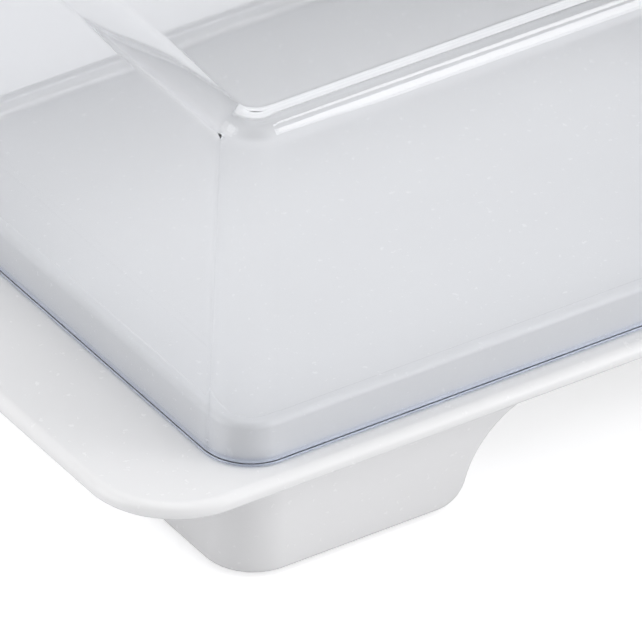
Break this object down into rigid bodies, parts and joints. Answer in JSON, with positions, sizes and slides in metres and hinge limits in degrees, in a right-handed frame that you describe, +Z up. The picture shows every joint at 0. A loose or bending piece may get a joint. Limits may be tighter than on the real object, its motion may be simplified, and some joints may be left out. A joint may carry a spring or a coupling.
{
  "type": "cling film dispenser",
  "caption": "Countertop cling film dispenser: a clear hood hinged on a white footed tray, a film roll between holders inside, and a slide cutter on a rail along the hood's top.",
  "frame": {"origin": "centre of the footprint, on the surface the feet stand on", "axes": "+X along the roll, to the user's right; +Y to the rear, where the hood's hinge is; +Z up. The user stands at -Y"},
  "size_m": [0.522, 0.1382, 0.1183],
  "materials": {
    "white_moulding": "glossy white moulded plastic",
    "clear_hood": "clear plastic with blue-tinted edges",
    "grey_rubber": "matt",
    "silicone": "satin, slightly tacky",
    "steel": "satin stainless steel",
    "card": "wound card",
    "wound_film": "tightly wound clear film",
    "grey_moulding": "fine satin moulded plastic"
  },
  "bodies": {
    "base": {"base_frame": "white_moulding", "base_screw_front_left": "steel", "base_screw_front_right": "steel", "base_screw_rear_left": "steel", "base_screw_rear_right": "steel", "bracket_screw_left_inner": "steel", "bracket_screw_left_outer": "steel", "bracket_screw_right_inner": "steel", "bracket_screw_right_outer": "steel", "foot_pad_front_left": "grey_rubber", "foot_pad_front_right": "grey_rubber", "foot_pad_rear_left": "grey_rubber", "foot_pad_rear_right": "grey_rubber", "hinge_bracket_left": "grey_moulding", "hinge_bracket_right": "grey_moulding", "hinge_pin_left": "steel", "hinge_pin_right": "steel", "holder_screw_front": "steel", "holder_screw_rear": "steel", "roll_holder_fixed": "white_moulding", "roll_hub_fixed": "grey_moulding", "tray": "white_moulding"},
    "hood": {"hood": "clear_hood", "hinge_leaf_left": "grey_moulding", "hinge_leaf_right": "grey_moulding", "cutter_rail": "white_moulding", "rail_cap_left": "grey_moulding", "rail_cap_right": "grey_moulding", "grip_strip_front": "silicone", "grip_strip_rear": "silicone", "roller_shaft": "steel", "roller_bracket_left": "white_moulding", "roller_bracket_right": "white_moulding", "lift_tab": "grey_moulding", "leaf_rivet_left_inner": "steel", "leaf_rivet_left_outer": "steel", "leaf_rivet_right_inner": "steel", "leaf_rivet_right_outer": "steel", "rail_screw_left": "steel", "rail_screw_middle": "steel", "rail_screw_right": "steel", "tab_rivet_left": "steel", "tab_rivet_right": "steel"},
    "cutter": {"cutter_body": "grey_moulding", "cutter_grip": "grey_rubber", "cutter_shoe": "grey_moulding", "cutter_blade": "steel"},
    "guide": {"guide_roller": "white_moulding"},
    "roll": {"roll_core": "card", "film_roll": "wound_film"},
    "sliding_holder": {"roll_holder_sliding": "white_moulding", "roll_hub_sliding": "grey_moulding", "holder_grip_pad": "grey_rubber"}
  },
  "joints": [
    {"name": "hood_hinge", "type": "hinge", "parent": "base", "child": "hood", "pos_m": [0, 0.0661, 0.0265], "axis": [-1, 0, 0], "range_deg": [0, 100]},
    {"name": "cutter_slide", "type": "slide", "parent": "hood", "child": "cutter", "axis": [1, 0, 0], "range_m": [0, 0.41]},
    {"name": "guide_roller_spin", "type": "hinge", "parent": "hood", "child": "guide", "pos_m": [0, -0.0355, 0.0865], "axis": [1, 0, 0], "continuous": true},
    {"name": "roll_spin", "type": "hinge", "parent": "base", "child": "roll", "pos_m": [0, 0.004, 0.0635], "axis": [1, 0, 0], "continuous": true},
    {"name": "holder_slide", "type": "slide", "parent": "base", "child": "sliding_holder", "axis": [1, 0, 0], "range_m": [0, 0.15]}
  ]
}
